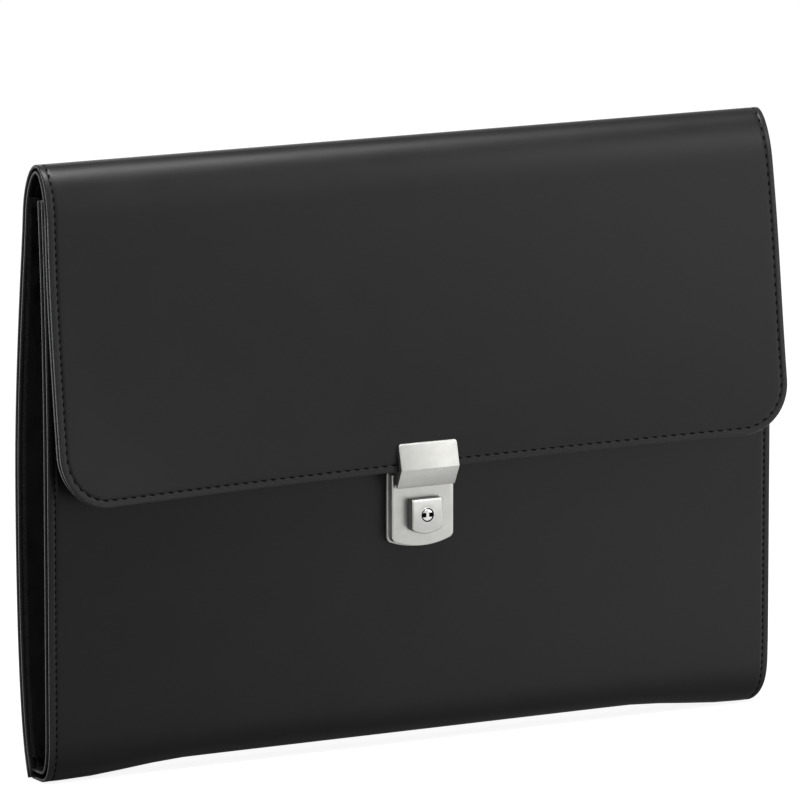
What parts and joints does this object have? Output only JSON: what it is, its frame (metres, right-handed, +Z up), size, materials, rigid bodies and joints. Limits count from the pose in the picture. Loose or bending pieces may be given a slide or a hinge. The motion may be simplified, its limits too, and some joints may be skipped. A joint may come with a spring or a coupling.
{
  "type": "conference folder",
  "caption": "Upright leather document folder whose back panel folds over into a front flap, held by a push lock with a key cylinder on a gusseted pocket.",
  "frame": {"origin": "centre of the base that the upright folder stands on, midway along its width and its depth", "axes": "+Z up, +X along the width to the right as seen from the front, -Y towards the flap and the lock"},
  "size_m": [0.36, 0.0422, 0.265],
  "materials": {
    "leather": "smooth black leather with a fine grain and a soft satin shine",
    "lining": "thin black leather lining, a little duller than the outside",
    "gusset": "thin glossy black gusset leather",
    "board": "grey-brown stiffening board, hidden",
    "nickel": "satin nickel plating",
    "chrome": "bright chrome plating",
    "steel": "plain zinc-plated steel"
  },
  "bodies": {
    "shell": {"back_leather": "leather", "back_board": "board", "back_lining": "lining", "bottom_leather": "leather", "bottom_lining": "lining", "gusset_left": "gusset", "gusset_right": "gusset"},
    "fold_rear": {"fold_leather_rear": "leather", "fold_lining_rear": "lining"},
    "fold_top": {"fold_leather_top": "leather", "fold_lining_top": "lining"},
    "flap": {"fold_leather_front": "leather", "fold_lining_front": "lining", "flap_leather": "leather", "flap_board": "board", "flap_lining": "lining", "hasp_plate": "nickel", "hasp_tongue": "steel", "hasp_backing": "steel", "hasp_rivet_left": "steel", "hasp_rivet_right": "steel"},
    "pocket": {"pocket_leather": "leather", "pocket_board": "board", "pocket_lining": "lining", "lock_plate": "nickel", "lock_housing": "nickel", "lock_backing": "steel", "lock_rivet_left": "steel", "lock_rivet_right": "steel", "return_spring": "steel"},
    "slide": {"lock_button": "nickel", "latch_bolt": "steel", "cylinder_barrel": "chrome"},
    "key_cylinder": {"key_plug": "chrome", "lock_cam": "steel"}
  },
  "joints": [
    {"name": "fold_rear_bend", "type": "hinge", "parent": "shell", "child": "fold_rear", "pos_m": [0, 0.0125, 0.258], "axis": [-1, 0, 0], "range_deg": [0, 60]},
    {"name": "fold_top_bend", "type": "hinge", "parent": "fold_rear", "child": "fold_top", "pos_m": [0, 0.004, 0.2645], "axis": [-1, 0, 0], "range_deg": [0, 60]},
    {"name": "flap_bend", "type": "hinge", "parent": "fold_top", "child": "flap", "pos_m": [0, -0.005, 0.2577], "axis": [-1, 0, 0], "range_deg": [0, 60]},
    {"name": "pocket_press", "type": "hinge", "parent": "shell", "child": "pocket", "pos_m": [0, -0.0029, 0.004], "axis": [-1, 0, 0], "range_deg": [0, 1.7], "deforming": ["gusset_left", "gusset_right"]},
    {"name": "button_slide", "type": "slide", "parent": "pocket", "child": "slide", "axis": [0, 0, -1], "range_m": [0, 0.003], "stiffness_N_per_m": 800, "springref_m": -0.002, "deforming": ["return_spring"]},
    {"name": "key_turn", "type": "hinge", "parent": "slide", "child": "key_cylinder", "pos_m": [0, -0.016, 0.1024], "axis": [0, -1, 0], "range_deg": [0, 90]}
  ],
  "couplings": [
    {"joint": "fold_rear_bend", "follows": "flap_bend", "ratio": 1},
    {"joint": "fold_top_bend", "follows": "flap_bend", "ratio": 1}
  ]
}
